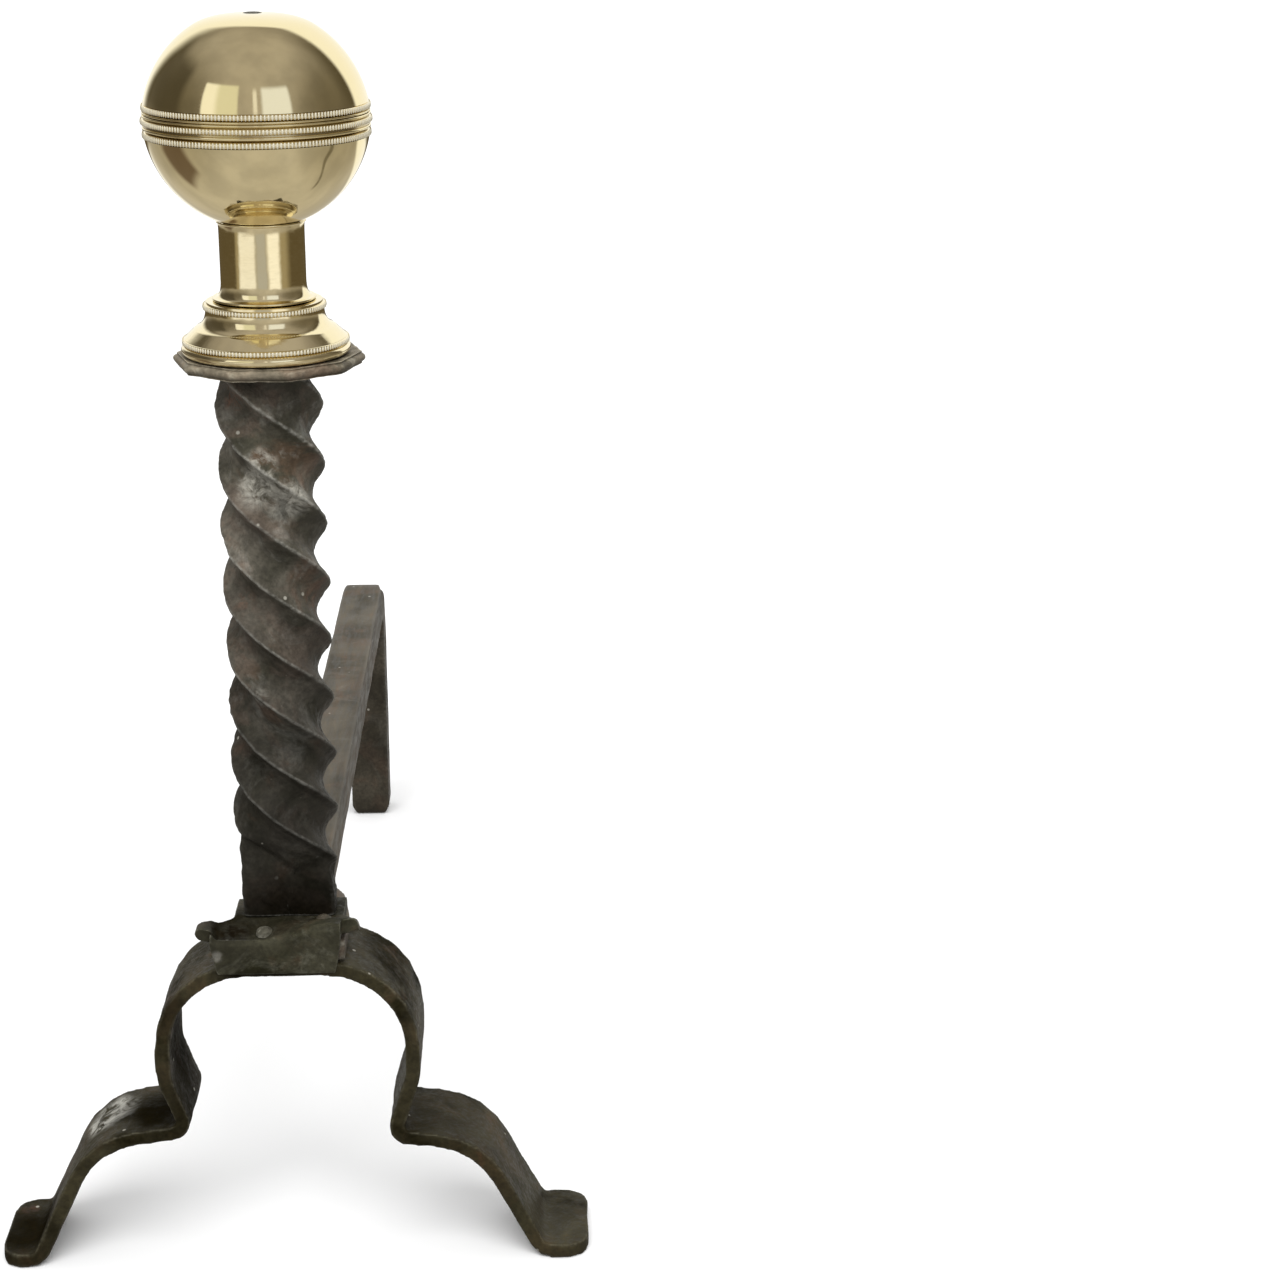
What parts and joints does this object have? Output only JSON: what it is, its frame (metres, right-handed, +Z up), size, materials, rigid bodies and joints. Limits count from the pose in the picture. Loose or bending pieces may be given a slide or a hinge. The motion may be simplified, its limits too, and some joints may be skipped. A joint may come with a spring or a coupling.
{
  "type": "andiron",
  "caption": "Fireplace andiron: twisted iron column on a bent strap arch, square bar behind it for logs, and a hollow brass ball finial on a plinth.",
  "frame": {"origin": "on the floor, midway between the feet and midway between the front of the ball and the back of the rear leg", "axes": "+Z up, +X from the left foot to the right foot as seen from the front, +Y from the column back along the billet bar"},
  "size_m": [0.294, 0.661, 0.61],
  "materials": {
    "leg_iron": "forged iron with brown-black scale, rubbed grey on the edges",
    "bar_iron": "forged iron bar, heat-browned, worn grey on top",
    "column_iron": "twisted iron bar, black scale with a little rust and grey scuffs",
    "cap_iron": "hammered iron plate, warm grey with bright edges",
    "polished_brass": "spun brass, polished to a mirror, with knurled rings",
    "rod_iron": "dark iron rod, end hammered over"
  },
  "bodies": {
    "root": {"leg_arch": "leg_iron", "billet_bar": "bar_iron", "saddle": "leg_iron", "twist_column": "column_iron", "cap_plate": "cap_iron", "plinth": "polished_brass", "neck": "polished_brass", "ball_lower": "polished_brass", "ball_upper": "polished_brass", "tie_rod": "rod_iron", "saddle_rivet_1": "leg_iron", "saddle_rivet_2": "leg_iron"}
  },
  "joints": []
}
